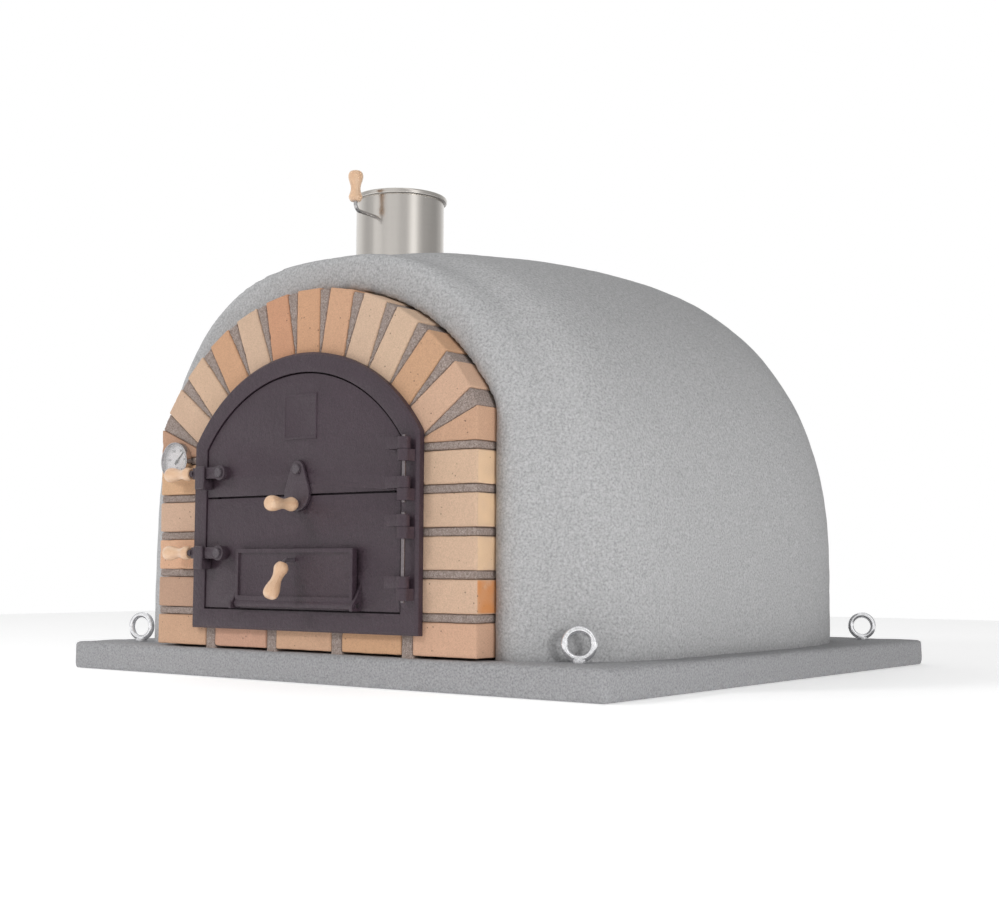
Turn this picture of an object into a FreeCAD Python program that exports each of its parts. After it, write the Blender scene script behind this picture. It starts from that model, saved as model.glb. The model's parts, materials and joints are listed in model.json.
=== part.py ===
import FreeCAD, Part
import math
import os

# Wood fired pizza oven on a concrete slab.
# Frame: +X to the right seen from the front, +Y to the back, +Z up.
# The origin is the centre of the slab's underside. All sizes are in millimetres.

Vector = FreeCAD.Vector

# ------------------------------------------------------------------ driving dimensions

# How far a cutting tool runs past the face it opens
cut_margin = 1.0

# Base slab
slab_width = 1100.0
slab_depth = 1100.0
slab_thickness = 46.0
slab_edge_radius = 5.0

# Lifting eye bolts
eye_inset_x = 90.0
eye_inset_y = 74.0
eye_ring_radius = 20.2
eye_wire_radius = 5.2
eye_centre_height = 25.6
eye_neck_radius = 6.0
eye_collar_radius = 10.0
eye_collar_height = 5.0
eye_collar_chamfer = 1.0
eye_shank_radius = 5.0
eye_shank_length = 32.0
eye_turns = (15.0, -20.0, 36.0, 24.0)

# Outside of the rendered body
body_front_inset = 40.0
body_back_inset = 53.0
body_half_width = 508.0
mouth_half_width = 374.0
ridge_height = 712.0
mouth_height = 661.0
shoulder_height = 163.0
widest_y = -51.0
ridge_end_y = 61.0
plan_front_power = 7.4
plan_back_power = 3.5
ridge_front_power = 1.45
ridge_back_power = 2.2
section_power = 2.6
section_angles = (0, 11, 22, 33, 45, 57, 69, 80)
front_steps = (0, 12, 26, 40, 54, 70, 92, 124, 175, 250, 350)
back_angles = (14, 28, 41, 52, 61, 69, 75.5, 80.5, 84.3)
closest_stations = 5.0
neck_depth = 9.0
neck_offset = 46.0
neck_length = 24.0

# Layers of the body, outside to inside
render_thickness = 18.0
insulation_thickness = 37.0
refractory_thickness = 60.0
throat_depth = 225.0

# Hearth
hearth_board_thickness = 25.0
hearth_tile_thickness = 30.0
hearth_tile_width = 150.0
hearth_tile_gap = 1.0
hearth_edge_gap = 3.0
smallest_tile_volume = 10000.0

# Brick facade
facade_front_inset = 5.0
brick_height = 48.5
brick_length = 117.0
jamb_brick_width = 114.0
brick_depth = 65.0
brick_arris = 2.0
arris_share = 0.3
brick_joint = 12.5
bed_joint = 3.25
arch_joint_inner = 0.9
springer_slope = 22.4
springer_joint = 2.2
sill_joint = 22.0
sill_brick_count = 5
mortar_recess = 1.5
mortar_backing = 5.0
pocket_gap = 1.0

# Cast door frame
frame_half_width = 238.0
frame_bottom = 78.0
frame_arch_radius = 280.0
arch_centre_z = 224.0
frame_proud = 13.5
frame_bevel = 4.0
frame_overlap = 17.0
frame_arch_overlap = 16.0
sleeve_gap = 3.5
sleeve_wall = 8.0
sleeve_depth = 45.0
ledge_width = 24.0
ledge_thickness = 6.0
anchor_length = 45.0
anchor_width = 20.0
anchor_thickness = 5.0

# Doors
door_border = 33.0
door_gap = 2.5
door_thickness = 10.0
door_recess = 1.5
door_seat_gap = 1.0
door_split_z = 284.5
door_split_gap = 3.0
closing_strip_height = 20.0
closing_strip_thickness = 3.5
closing_strip_gap = 0.5
closing_strip_margin = 8.0
badge_size = 70.0
badge_height_z = 405.0
badge_rim = 4.0
badge_proud = 1.5

# Hinges
hinge_inset = 15.0
hinge_forward = 13.5
hinge_pin_radius = 3.0
hinge_pin_clearance = 0.05
hinge_pin_overhang = 3.0
knuckle_radius = 9.5
knuckle_height = 17.0
knuckle_gap = 0.5
strap_length = 32.0
strap_thickness = 8.0
lower_knuckles = (128.0, 216.0)
upper_knuckles = (270.5, 327.0)

# Side latches
latch_inset = 76.0
lower_latch_z = 197.0
upper_latch_z = 324.0
latch_plane_forward = 12.0
lever_thickness = 6.0
lever_height = 18.0
lever_boss_radius = 12.0
door_boss_radius = 11.0
lever_reach = 62.0
ferrule_radius = 5.5
ferrule_length = 7.0
tang_radius = 3.0
tang_length = 24.0
pivot_radius = 4.0
pivot_clearance = 0.06
pivot_head_radius = 7.5
pivot_head_height = 4.0
pivot_head_chamfer = 1.0
pivot_head_gap = 0.3
pivot_cover = 1.0
keeper_inset = 35.0
keeper_width = 20.0
keeper_drop = 26.0
keeper_rise = 11.0
keeper_lip = 5.0
keeper_gap = 1.0
keeper_chamfer = 1.5

# Centre latch
centre_latch_z = 324.0
centre_plate_thickness = 5.0
centre_plate_gap = 1.0
centre_plate_top_radius = 13.0
centre_plate_bottom_radius = 26.0
centre_plate_drop = 38.0
centre_knob_drop = 54.0
knob_foot_radius = 7.5
knob_foot_height = 3.0

# Draught vent and its flap
vent_lap = 20.0
vent_bottom = 132.0
vent_height = 58.0
flap_inset = 114.0
flap_pivot_z = 119.0
flap_height = 84.0
flap_thickness = 10.0
flap_gap = 3.0
flap_border = 6.0
flap_recess = 4.0
flap_barrel_radius = 6.0
flap_pin_radius = 3.0
flap_pin_clearance = 0.06
gusset_gap = 1.5
gusset_thickness = 5.0
gusset_height = 40.0
gusset_reach = 20.0
flap_rod_z = 186.0
flap_rod_radius = 3.0
flap_rod_straight = 10.0
flap_rod_bend = 9.0
flap_rod_tilt = 61.0
flap_rod_shoulder = 2.0
flap_pin_overhang = 2.0

# Turned wooden grips
grip_length = 58.0
grip_base_radius = 11.0
grip_waist_radius = 8.0
grip_tip_radius = 12.0

# Flue with damper
flue_y = -330.0
flue_radius = 73.0
flue_wall = 1.5
flue_rise = 104.0
flue_rim_radius = 78.0
flue_rim_height = 9.0
flue_rim_round = 3.0
flue_seat_depth = 30.0
flue_seat_wall = 1.0
flue_stop_height = 3.0
flue_stop_radius = 70.0
flue_socket_depth = 80.0
damper_turn = 6.0
damper_below_rim = 45.0
damper_shaft_radius = 3.0
damper_shaft_clearance = 0.08
damper_plate_gap = 2.5
damper_plate_thickness = 2.0
damper_reach = 52.0
damper_bend = 11.0
damper_end_overhang = 4.0
damper_grip_length = 50.0
damper_rod_shoulder = 3.0
damper_screw_radius = 2.0
damper_screw_head_radius = 4.0
damper_screw_head_height = 2.0
damper_screw_spacing = 60.0

# Thermometer
gauge_from_opening = 70.0
gauge_radius = 31.5
gauge_depth = 12.0
gauge_wall = 2.5
gauge_back = 3.0
gauge_round = 1.0
gauge_dial_thickness = 1.0
gauge_glass_thickness = 1.5
gauge_glass_recess = 1.5
gauge_stem_radius = 4.0
gauge_stem_length = 50.0
needle_length = 22.0
needle_tail_length = 6.0
needle_tail_width = 4.0
needle_tip_width = 1.2
needle_dial_gap = 0.6
needle_thickness = 0.8
needle_hub_radius = 3.0
needle_spindle_radius = 1.0
needle_spindle_clearance = 0.08
needle_spindle_end_gap = 0.2
needle_angle = 45.0

# ------------------------------------------------------------------ planes and places

slab_front = -slab_depth / 2
slab_top = slab_thickness
body_front = slab_front + body_front_inset
body_back = slab_depth / 2 - body_back_inset
facade_front = slab_front + facade_front_inset
brick_back = facade_front + brick_depth
core_front = brick_back + mortar_backing
frame_front = facade_front - frame_proud
door_front = frame_front + door_recess
door_back = door_front + door_thickness
ledge_front = door_back + door_seat_gap
hinge_x = frame_half_width - hinge_inset
hinge_y = frame_front - hinge_forward
latch_x = latch_inset - frame_half_width
keeper_x = keeper_inset - frame_half_width
latch_y = frame_front - latch_plane_forward
flap_half_width = frame_half_width - flap_inset
vent_half_width = flap_half_width - vent_lap
floor_top = slab_top + hearth_board_thickness + hearth_tile_thickness
brick_pitch = brick_height + brick_joint
jamb_half_opening = frame_half_width - frame_overlap
gauge_x = -jamb_half_opening - gauge_from_opening
arch_inner_radius = frame_arch_radius - frame_arch_overlap
arch_outer_radius = arch_inner_radius + brick_length
facade_half_width = jamb_half_opening + jamb_brick_width
facade_bed = slab_top + bed_joint
sill_top = facade_bed + brick_height
cavity_inset = render_thickness + insulation_thickness + refractory_thickness
far_front = slab_front - 100.0
screw_end = door_back - pivot_cover
grip_face_radius = grip_waist_radius

# ------------------------------------------------------------------ shape helpers


def box(x0, x1, y0, y1, z0, z1):
    return Part.makeBox(x1 - x0, y1 - y0, z1 - z0, Vector(x0, y0, z0))


def rod(start, direction, length, radius):
    return Part.makeCylinder(radius, length, start, direction)


def facing_disc(x, z, radius, y_front, y_back):
    """Cylinder along Y between two planes."""
    return rod(Vector(x, y_front, z), Vector(0, 1, 0), y_back - y_front, radius)


def fuse(shapes):
    joined = shapes[0].multiFuse(shapes[1:])
    return joined.removeSplitter()


def polygon_wire(points):
    return Part.makePolygon(points + [points[0]])


def prism_along_y(wire, y_front, y_back):
    """Extrude a wire drawn in the plane y = 0."""
    face = Part.Face(wire)
    face.translate(Vector(0, y_front, 0))
    return face.extrude(Vector(0, y_back - y_front, 0))


def arch_wire(half_width, bottom, radius):
    """Door shape: straight jambs under an arc about the arch centre."""
    spring = arch_centre_z + math.sqrt(radius ** 2 - half_width ** 2)
    low_left = Vector(-half_width, 0, bottom)
    low_right = Vector(half_width, 0, bottom)
    high_right = Vector(half_width, 0, spring)
    high_left = Vector(-half_width, 0, spring)
    crown = Vector(0, 0, arch_centre_z + radius)
    edges = [
        Part.makeLine(low_left, low_right),
        Part.makeLine(low_right, high_right),
        Part.Arc(high_right, crown, high_left).toShape(),
        Part.makeLine(high_left, low_left),
    ]
    return Part.Wire(edges)


def frame_prism(inset, y_front, y_back):
    """Prism of the door frame's outline, moved in by a given amount all round."""
    wire = arch_wire(frame_half_width - inset, frame_bottom + inset, frame_arch_radius - inset)
    return prism_along_y(wire, y_front, y_back)


def place(shape, turn_axis, turn_angle, position):
    moved = shape.copy()
    moved.Placement = FreeCAD.Placement(position, FreeCAD.Rotation(turn_axis, turn_angle))
    return moved


def aim(shape, direction, position):
    """Turn a shape made along +Z so that it points along a direction."""
    moved = shape.copy()
    rotation = FreeCAD.Rotation(Vector(0, 0, 1), direction)
    moved.Placement = FreeCAD.Placement(position, rotation)
    return moved


# ------------------------------------------------------------------ body of the oven


def neck(y):
    """Shallow hollow round the body just behind its mouth."""
    return neck_depth * math.exp(-(((y - body_front - neck_offset) / neck_length) ** 2))


def half_width_at(y, inset):
    if y <= widest_y:
        share = (widest_y - y) / (widest_y - body_front)
        flare = (body_half_width - mouth_half_width) * (1 - share ** plan_front_power)
        return mouth_half_width + flare - neck(y) - inset
    share = (y - widest_y) / (body_back - inset - widest_y)
    return (body_half_width - inset) * (1 - share ** plan_back_power) ** (1 / plan_back_power)


def height_at(y, inset):
    if y <= widest_y:
        share = (widest_y - y) / (widest_y - body_front)
        rise = (ridge_height - mouth_height) * (1 - share ** ridge_front_power)
        return mouth_height + rise - neck(y) - inset
    if y <= ridge_end_y:
        return ridge_height - inset
    share = (y - ridge_end_y) / (body_back - inset - ridge_end_y)
    fall = (1 - share ** ridge_back_power) ** (1 / ridge_back_power)
    return shoulder_height + (ridge_height - inset - shoulder_height) * fall


def body_section(y, inset):
    """Arch-shaped section: upright sides, then a superellipse over the ridge."""
    half_width = half_width_at(y, inset)
    rise = height_at(y, inset) - shoulder_height
    wall_mid = (slab_top + shoulder_height) / 2
    right_side = []
    for angle in section_angles:
        across = math.cos(math.radians(angle)) ** (2 / section_power)
        upward = math.sin(math.radians(angle)) ** (2 / section_power)
        right_side.append(Vector(half_width * across, y, shoulder_height + rise * upward))
    right_side = [Vector(half_width, y, slab_top), Vector(half_width, y, wall_mid)] + right_side
    left_side = [Vector(-p.x, p.y, p.z) for p in reversed(right_side)]
    points = right_side + [Vector(0, y, shoulder_height + rise)] + left_side
    curve = Part.BSplineCurve()
    curve.interpolate(points)
    foot = Part.makeLine(points[-1], points[0])
    return Part.Wire([curve.toShape(), foot])


def body_stations(inset, front):
    """Places along Y where the body's outline is worked out, from a square cut at the front."""
    behind = front + closest_stations
    stations = [front]
    stations += [body_front + step for step in front_steps if body_front + step > behind]
    stations.append(widest_y)
    back_length = body_back - inset - widest_y
    for angle in back_angles:
        stations.append(widest_y + back_length * math.sin(math.radians(angle)))
    return stations


def body_solid(inset, front):
    """The body's outline, moved in by the inset and cut off square at the front."""
    return Part.makeLoft([body_section(y, inset) for y in body_stations(inset, front)], True, False)


def facade_prism(gap, y_front, y_back):
    wire = arch_wire(facade_half_width + gap, slab_top, arch_outer_radius + gap)
    return prism_along_y(wire, y_front, y_back)


def flue_hole():
    return rod(Vector(0, flue_y, floor_top), Vector(0, 0, 1), ridge_height, flue_radius)


def build_body(parts):
    pocket = facade_prism(pocket_gap, slab_front, core_front)
    hole = flue_hole()
    outer = body_solid(0, body_front)
    under_render = body_solid(render_thickness, body_front + render_thickness)
    core_inset = render_thickness + insulation_thickness
    core = body_solid(core_inset, core_front)
    cavity = body_solid(cavity_inset, core_front)

    parts["render_shell"] = outer.cut(under_render).cut(pocket).cut(hole)
    parts["insulation_layer"] = under_render.cut(core).cut(pocket).cut(hole)

    refractory = core.cut(cavity).cut(hole)
    reach = slab_width
    throat_back = core_front + throat_depth
    split = {
        "throat_arch": box(-reach, reach, core_front, throat_back, 0, ridge_height),
        "dome_half_left": box(-reach, 0, throat_back, reach, 0, ridge_height),
        "dome_half_right": box(0, reach, throat_back, reach, 0, ridge_height),
    }
    for name, region in split.items():
        parts[name] = refractory.common(region)


def floor_plan(z0, z1):
    """Flat slab with the cavity's outline, a little smaller all round."""
    inset = cavity_inset + hearth_edge_gap
    right = [Vector(half_width_at(y, inset), y, z0) for y in body_stations(inset, core_front)]
    left = [Vector(-p.x, p.y, z0) for p in right]
    sides = []
    for points in (right, left):
        curve = Part.BSplineCurve()
        curve.interpolate(points)
        sides.append(curve.toShape())
    front = Part.makeLine(left[0], right[0])
    back = Part.makeLine(right[-1], left[-1])
    outline = Part.Wire([front, sides[0], back, sides[1]])
    return Part.Face(outline).extrude(Vector(0, 0, z1 - z0))


def build_hearth(parts):
    board_top = slab_top + hearth_board_thickness
    parts["hearth_insulation_board"] = floor_plan(slab_top, board_top)
    tile_plan = floor_plan(board_top, floor_top)

    columns = math.ceil(2 * (body_half_width - cavity_inset) / hearth_tile_width)
    rows = math.ceil((body_back - cavity_inset - core_front) / hearth_tile_width)
    left = -columns * hearth_tile_width / 2
    tiles = []
    for column in range(columns):
        for row in range(rows):
            x0 = left + column * hearth_tile_width
            y0 = core_front + row * hearth_tile_width
            tile = box(
                x0 + hearth_tile_gap / 2, x0 + hearth_tile_width - hearth_tile_gap / 2,
                y0, y0 + hearth_tile_width - hearth_tile_gap,
                board_top, floor_top)
            clipped = tile.common(tile_plan)
            tiles += [solid for solid in clipped.Solids if solid.Volume > smallest_tile_volume]
    parts["hearth_tiles"] = Part.makeCompound(tiles)


# ------------------------------------------------------------------ slab and eye bolts


def eye_places():
    """Bolt places in the order front left, back left, front right, back right."""
    x = slab_width / 2 - eye_inset_x
    y = slab_depth / 2 - eye_inset_y
    return [Vector(sx * x, sy * y, slab_top) for sx in (-1, 1) for sy in (-1, 1)]


def eye_bolt():
    ring = Part.makeTorus(eye_ring_radius, eye_wire_radius, Vector(0, 0, 0), Vector(0, 1, 0))
    ring.translate(Vector(0, 0, eye_centre_height))
    up = Vector(0, 0, 1)
    neck_top = eye_centre_height - eye_ring_radius
    stem = rod(Vector(0, 0, 0), up, neck_top, eye_neck_radius)
    collar = rod(Vector(0, 0, 0), up, eye_collar_height, eye_collar_radius)
    collar = collar.makeChamfer(eye_collar_chamfer, [collar.Edges[0]])
    shank = rod(Vector(0, 0, -eye_shank_length), up, eye_shank_length, eye_shank_radius)
    return fuse([ring, stem, collar, shank])


def build_slab(parts):
    slab = box(-slab_width / 2, slab_width / 2, slab_front, -slab_front, 0, slab_thickness)
    edges = [edge for edge in slab.Edges if edge.CenterOfMass.z > slab_thickness * 0.4]
    slab = slab.makeFillet(slab_edge_radius, edges)
    bolts = []
    for spot, turn in zip(eye_places(), eye_turns):
        bolts.append(place(eye_bolt(), Vector(0, 0, 1), turn, spot))
        down = Vector(0, 0, -1)
        slab = slab.cut(rod(spot, down, eye_shank_length, eye_shank_radius))
    parts["base_slab"] = slab
    parts["lifting_eye_bolts"] = Part.makeCompound(bolts)


# ------------------------------------------------------------------ brick facade


def chamfer_front(brick, y_front):
    """Break the arrises round the brick's front face."""
    edges = []
    for edge in brick.Edges:
        if all(abs(v.Point.y - y_front) < 1e-6 for v in edge.Vertexes):
            edges.append(edge)
    shortest = min(edge.Length for edge in edges)
    return brick.makeChamfer(min(brick_arris, shortest * arris_share), edges)


def brick_from(points):
    """Brick with the given front outline, as deep as every facade brick."""
    solid = prism_along_y(polygon_wire(points), facade_front, brick_back)
    return chamfer_front(solid, facade_front)


def brick_box(x0, x1, z0, z1):
    return brick_from([Vector(x0, 0, z0), Vector(x1, 0, z0), Vector(x1, 0, z1), Vector(x0, 0, z1)])


def voussoir_angles():
    pitch = math.degrees((brick_height + arch_joint_inner) / arch_inner_radius)
    spring = math.degrees(math.acos(jamb_half_opening / arch_inner_radius))
    count = round((180 - 2 * spring) / pitch)
    return [90 + (index - (count - 1) / 2) * pitch for index in range(count)]


def voussoir(angle):
    along = Vector(math.cos(math.radians(angle)), 0, math.sin(math.radians(angle)))
    across = Vector(-along.z, 0, along.x)
    centre = Vector(0, 0, arch_centre_z)
    half = brick_height / 2
    corners = []
    for radius, side in ((arch_inner_radius, -half), (arch_outer_radius, -half),
                         (arch_outer_radius, half), (arch_inner_radius, half)):
        corners.append(centre + along * radius + across * side)
    return corners


def springer_line():
    """Height of the springer's sloping top at its inner and outer edge."""
    corner = voussoir(voussoir_angles()[0])[0]
    slope = math.tan(math.radians(springer_slope))
    inner = corner.z - springer_joint + slope * (jamb_half_opening - corner.x)
    return inner, inner + slope * jamb_brick_width


def course_count():
    inner_height = springer_line()[0]
    return int((inner_height - facade_bed) / brick_pitch)


def springer_base():
    return facade_bed + course_count() * brick_pitch


def build_facade(parts):
    bricks = []
    angles = voussoir_angles()
    for index, angle in enumerate(reversed(angles)):
        brick = brick_from(voussoir(angle))
        parts["arch_brick_%02d" % (index + 1)] = brick
        bricks.append(brick)

    base = springer_base()
    inner, outer = springer_line()
    for side, name in ((-1, "springer_brick_left"), (1, "springer_brick_right")):
        points = [
            Vector(side * jamb_half_opening, 0, base),
            Vector(side * facade_half_width, 0, base),
            Vector(side * facade_half_width, 0, outer),
            Vector(side * jamb_half_opening, 0, inner),
        ]
        parts[name] = brick_from(points)
        bricks.append(parts[name])

    for side, name in ((-1, "jamb_bricks_left"), (1, "jamb_bricks_right")):
        stack = []
        for course in range(1, course_count()):
            z0 = facade_bed + course * brick_pitch
            x0, x1 = sorted((side * jamb_half_opening, side * facade_half_width))
            stack.append(brick_box(x0, x1, z0, z0 + brick_height))
        parts[name] = Part.makeCompound(stack)
        bricks += stack

    joints_length = (sill_brick_count - 1) * sill_joint
    sill_length = (2 * facade_half_width - joints_length) / sill_brick_count
    sill = []
    for index in range(sill_brick_count):
        x0 = -facade_half_width + index * (sill_length + sill_joint)
        sill.append(brick_box(x0, x0 + sill_length, facade_bed, sill_top))
    parts["sill_bricks"] = Part.makeCompound(sill)
    bricks += sill
    build_mortar(parts, bricks)


def gauge_z():
    return springer_base() - brick_joint / 2


def build_mortar(parts, bricks):
    bed = facade_prism(-mortar_recess, facade_front + mortar_recess, core_front)
    opening = arch_wire(jamb_half_opening, sill_top, arch_inner_radius)
    mortar = bed.cut(prism_along_y(opening, slab_front, 0))
    mortar = mortar.cut(bricks)
    stem = facing_disc(gauge_x, gauge_z(), gauge_stem_radius, slab_front, 0)
    tabs = frame_anchors()
    parts["frame_anchor_tabs"] = Part.makeCompound(tabs)
    parts["facade_mortar"] = mortar.cut([stem] + tabs)


def frame_anchors():
    """Flat tabs that key the frame's sleeve into four of the bed joints."""
    sleeve_side = jamb_half_opening - sleeve_gap
    y0 = facade_front + sleeve_depth - anchor_width
    tabs = []
    for course in (2, course_count() - 1):
        z_mid = facade_bed + course * brick_pitch - brick_joint / 2
        for side in (-1, 1):
            x0, x1 = sorted((side * sleeve_side, side * (sleeve_side + anchor_length)))
            tabs.append(box(x0, x1, y0, y0 + anchor_width,
                            z_mid - anchor_thickness / 2, z_mid + anchor_thickness / 2))
    return tabs


# ------------------------------------------------------------------ door frame and doors


def build_frame(parts):
    flange = frame_prism(0, frame_front, facade_front)
    outline = [
        edge for edge in flange.Edges
        if all(abs(v.Point.y - frame_front) < 1e-6 for v in edge.Vertexes)
    ]
    flange = flange.makeChamfer(frame_bevel, outline)
    flange = flange.cut(frame_prism(door_border - door_gap, frame_front, facade_front))
    sleeve_inset = frame_overlap + sleeve_gap
    sleeve = frame_prism(sleeve_inset, ledge_front, facade_front + sleeve_depth)
    sleeve = sleeve.cut(frame_prism(sleeve_inset + sleeve_wall, ledge_front, 0))
    ledge = frame_prism(sleeve_inset, ledge_front, ledge_front + ledge_thickness)
    ledge = ledge.cut(frame_prism(sleeve_inset + ledge_width, ledge_front, 0))
    pieces = [flange, sleeve, ledge]

    pin_hole = rod(Vector(hinge_x, hinge_y, frame_bottom), Vector(0, 0, 1),
                   frame_arch_radius * 2, hinge_pin_radius)
    for z0 in lower_knuckles + upper_knuckles:
        barrel = rod(Vector(hinge_x, hinge_y, z0), Vector(0, 0, 1), knuckle_height,
                     knuckle_radius)
        web = box(hinge_x - knuckle_radius, hinge_x + knuckle_radius, hinge_y, frame_front,
                  z0, z0 + knuckle_height)
        pieces += [barrel, web]
    frame = fuse(pieces)
    parts["door_frame"] = frame.cut(pin_hole)

    for levels, name in ((lower_knuckles, "lower_hinge_pin"), (upper_knuckles, "upper_hinge_pin")):
        bottom = levels[0] - hinge_pin_overhang
        top = levels[1] + 2 * knuckle_height + knuckle_gap + hinge_pin_overhang
        parts[name] = rod(Vector(hinge_x, hinge_y, bottom), Vector(0, 0, 1), top - bottom,
                          hinge_pin_radius)


def hinge_straps(levels):
    """Straps and knuckles that hang a door just above the frame's own knuckles."""
    pieces = []
    for level in levels:
        z0 = level + knuckle_height + knuckle_gap
        z1 = z0 + knuckle_height
        barrel = rod(Vector(hinge_x, hinge_y, z0), Vector(0, 0, 1), knuckle_height,
                     knuckle_radius)
        strap = box(hinge_x - strap_length, hinge_x, hinge_y - strap_thickness / 2,
                    hinge_y + strap_thickness / 2, z0, z1)
        door_edge = frame_half_width - door_border
        foot = box(hinge_x - strap_length, door_edge - door_gap, hinge_y, door_front, z0, z1)
        pieces += [barrel, strap, foot]
    return pieces


def hinge_bore():
    return rod(Vector(hinge_x, hinge_y, 0), Vector(0, 0, 1), ridge_height,
               hinge_pin_radius + hinge_pin_clearance)


def latch_boss(z):
    """Cast boss that carries a side latch on the door."""
    boss_front = latch_y + lever_thickness / 2
    return facing_disc(latch_x, z, door_boss_radius, boss_front, door_front)


def pivot_screw(x, z, y_head, y_end):
    """Shoulder screw along Y: head in front, shank into the door."""
    head = facing_disc(x, z, pivot_head_radius, y_head - pivot_head_height, y_head)
    y_front = y_head - pivot_head_height
    rim = [edge for edge in head.Edges if abs(edge.CenterOfMass.y - y_front) < 1e-6]
    head = head.makeChamfer(pivot_head_chamfer, rim)
    shank = facing_disc(x, z, pivot_radius, y_head, y_end)
    return fuse([head, shank])


def build_lower_door(parts):
    below = box(-slab_width, slab_width, far_front, 0, 0, door_split_z - door_split_gap / 2)
    panel = frame_prism(door_border, door_front, door_back).common(below)
    strip_half = jamb_half_opening - sleeve_gap - ledge_width - closing_strip_margin
    strip_low = door_split_z - closing_strip_height / 2
    strip_front = door_back + closing_strip_gap
    strip = box(-strip_half, strip_half, strip_front, strip_front + closing_strip_thickness,
                strip_low, strip_low + closing_strip_height)
    strip_root = box(-strip_half, strip_half, door_back, strip_front, strip_low,
                     door_split_z - door_split_gap / 2)
    door = [panel, strip, strip_root, latch_boss(lower_latch_z)]
    door += hinge_straps(lower_knuckles)
    for side in (-1, 1):
        x_near = side * (flap_half_width + gusset_gap)
        door.append(flap_gusset(min(x_near, x_near + side * gusset_thickness)))
    door = fuse(door)
    vent = box(-vent_half_width, vent_half_width, door_front - cut_margin, door_back + cut_margin,
               vent_bottom, vent_bottom + vent_height)
    screw = facing_disc(latch_x, lower_latch_z, pivot_radius, far_front, screw_end)
    flap_pin = flap_hinge_pin()
    parts["lower_door"] = door.cut([vent, hinge_bore(), screw, flap_pin])


def flap_gusset(x0):
    """Triangular ear that holds one end of the flap's hinge pin."""
    foot_z = frame_bottom + door_border
    profile = [
        Vector(x0, door_front, foot_z),
        Vector(x0, door_front, foot_z + gusset_height),
        Vector(x0, door_front - gusset_reach * 0.5, foot_z + gusset_height * 0.5),
        Vector(x0, door_front - gusset_reach, foot_z + gusset_height * 0.2),
        Vector(x0, door_front - gusset_reach, foot_z),
    ]
    return Part.Face(polygon_wire(profile)).extrude(Vector(gusset_thickness, 0, 0))


def flap_pivot_y():
    return door_front - flap_gap - flap_barrel_radius


def flap_hinge_pin():
    reach = flap_half_width + gusset_gap + gusset_thickness + flap_pin_overhang
    return rod(Vector(-reach, flap_pivot_y(), flap_pivot_z), Vector(1, 0, 0), 2 * reach,
               flap_pin_radius)


def build_upper_door(parts):
    above = box(-slab_width, slab_width, far_front, 0,
                door_split_z + door_split_gap / 2, ridge_height)
    panel = frame_prism(door_border, door_front, door_back).common(above)
    half = badge_size / 2
    badge = box(-half, half, door_front - badge_proud, door_front,
                badge_height_z - half, badge_height_z + half)
    field_half = half - badge_rim
    field = box(-field_half, field_half, door_front - badge_proud, door_front - badge_proud / 2,
                badge_height_z - field_half, badge_height_z + field_half)
    door = fuse([panel, badge.cut(field), latch_boss(upper_latch_z)] + hinge_straps(upper_knuckles))
    side_screw = facing_disc(latch_x, upper_latch_z, pivot_radius, far_front, screw_end)
    centre_screw = facing_disc(0, centre_latch_z, pivot_radius, far_front, screw_end)
    parts["upper_door"] = door.cut([hinge_bore(), side_screw, centre_screw])


# ------------------------------------------------------------------ grips and latches


def wooden_grip(length):
    """Turned grip along +Z from its base, with a blind hole for its tang."""
    profile = [
        (0.0, grip_face_radius),
        (0.07, grip_base_radius * 0.93),
        (0.14, grip_base_radius),
        (0.24, grip_base_radius * 0.88),
        (0.37, grip_waist_radius),
        (0.50, grip_waist_radius * 1.04),
        (0.66, grip_tip_radius * 0.89),
        (0.80, grip_tip_radius),
        (0.92, grip_tip_radius * 0.90),
        (0.98, grip_tip_radius * 0.62),
    ]
    points = [Vector(radius, 0, share * length) for share, radius in profile]
    tip = Vector(0, 0, length)
    side = Part.BSplineCurve()
    side.interpolate(points)
    base = Part.makeLine(Vector(0, 0, 0), points[0])
    end = Part.makeLine(points[-1], tip)
    axis = Part.makeLine(tip, Vector(0, 0, 0))
    face = Part.Face(Part.Wire([base, side.toShape(), end, axis]))
    body = face.revolve(Vector(0, 0, 0), Vector(0, 0, 1), 360)
    return body.cut(rod(Vector(0, 0, 0), Vector(0, 0, 1), tang_length, tang_radius))


def side_latch(z):
    """Lever that hooks behind a keeper, with its ferrule and tang."""
    y0 = latch_y - lever_thickness / 2
    y1 = latch_y + lever_thickness / 2
    left = latch_x - lever_reach
    boss = facing_disc(latch_x, z, lever_boss_radius, y0, y1)
    arm = box(left, latch_x, y0, y1, z - lever_height / 2, z + lever_height / 2)
    toward_left = Vector(-1, 0, 0)
    ferrule = rod(Vector(left, latch_y, z), toward_left, ferrule_length, ferrule_radius)
    tang = rod(Vector(left - ferrule_length, latch_y, z), toward_left, tang_length, tang_radius)
    lever = fuse([boss, arm, ferrule, tang])
    return lever.cut(facing_disc(latch_x, z, pivot_radius + pivot_clearance, y0 - cut_margin,
                                 y1 + cut_margin))


def latch_keeper(z):
    """Keeper on the frame: the lever lies in its slot, which is open at the top."""
    x0 = keeper_x - keeper_width / 2
    lever_front = latch_y - lever_thickness / 2
    front = lever_front - keeper_gap - keeper_lip
    block = box(x0, x0 + keeper_width, front, frame_front, z - keeper_drop, z + keeper_rise)
    slot = box(x0 - cut_margin, x0 + keeper_width + cut_margin, lever_front - keeper_gap,
               frame_front + cut_margin, z - lever_height / 2 - keeper_gap,
               z + keeper_rise + cut_margin)
    edges = [e for e in block.Edges if abs(e.CenterOfMass.y - front) < 1e-6]
    return block.makeChamfer(keeper_chamfer, edges).cut(slot)


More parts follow.
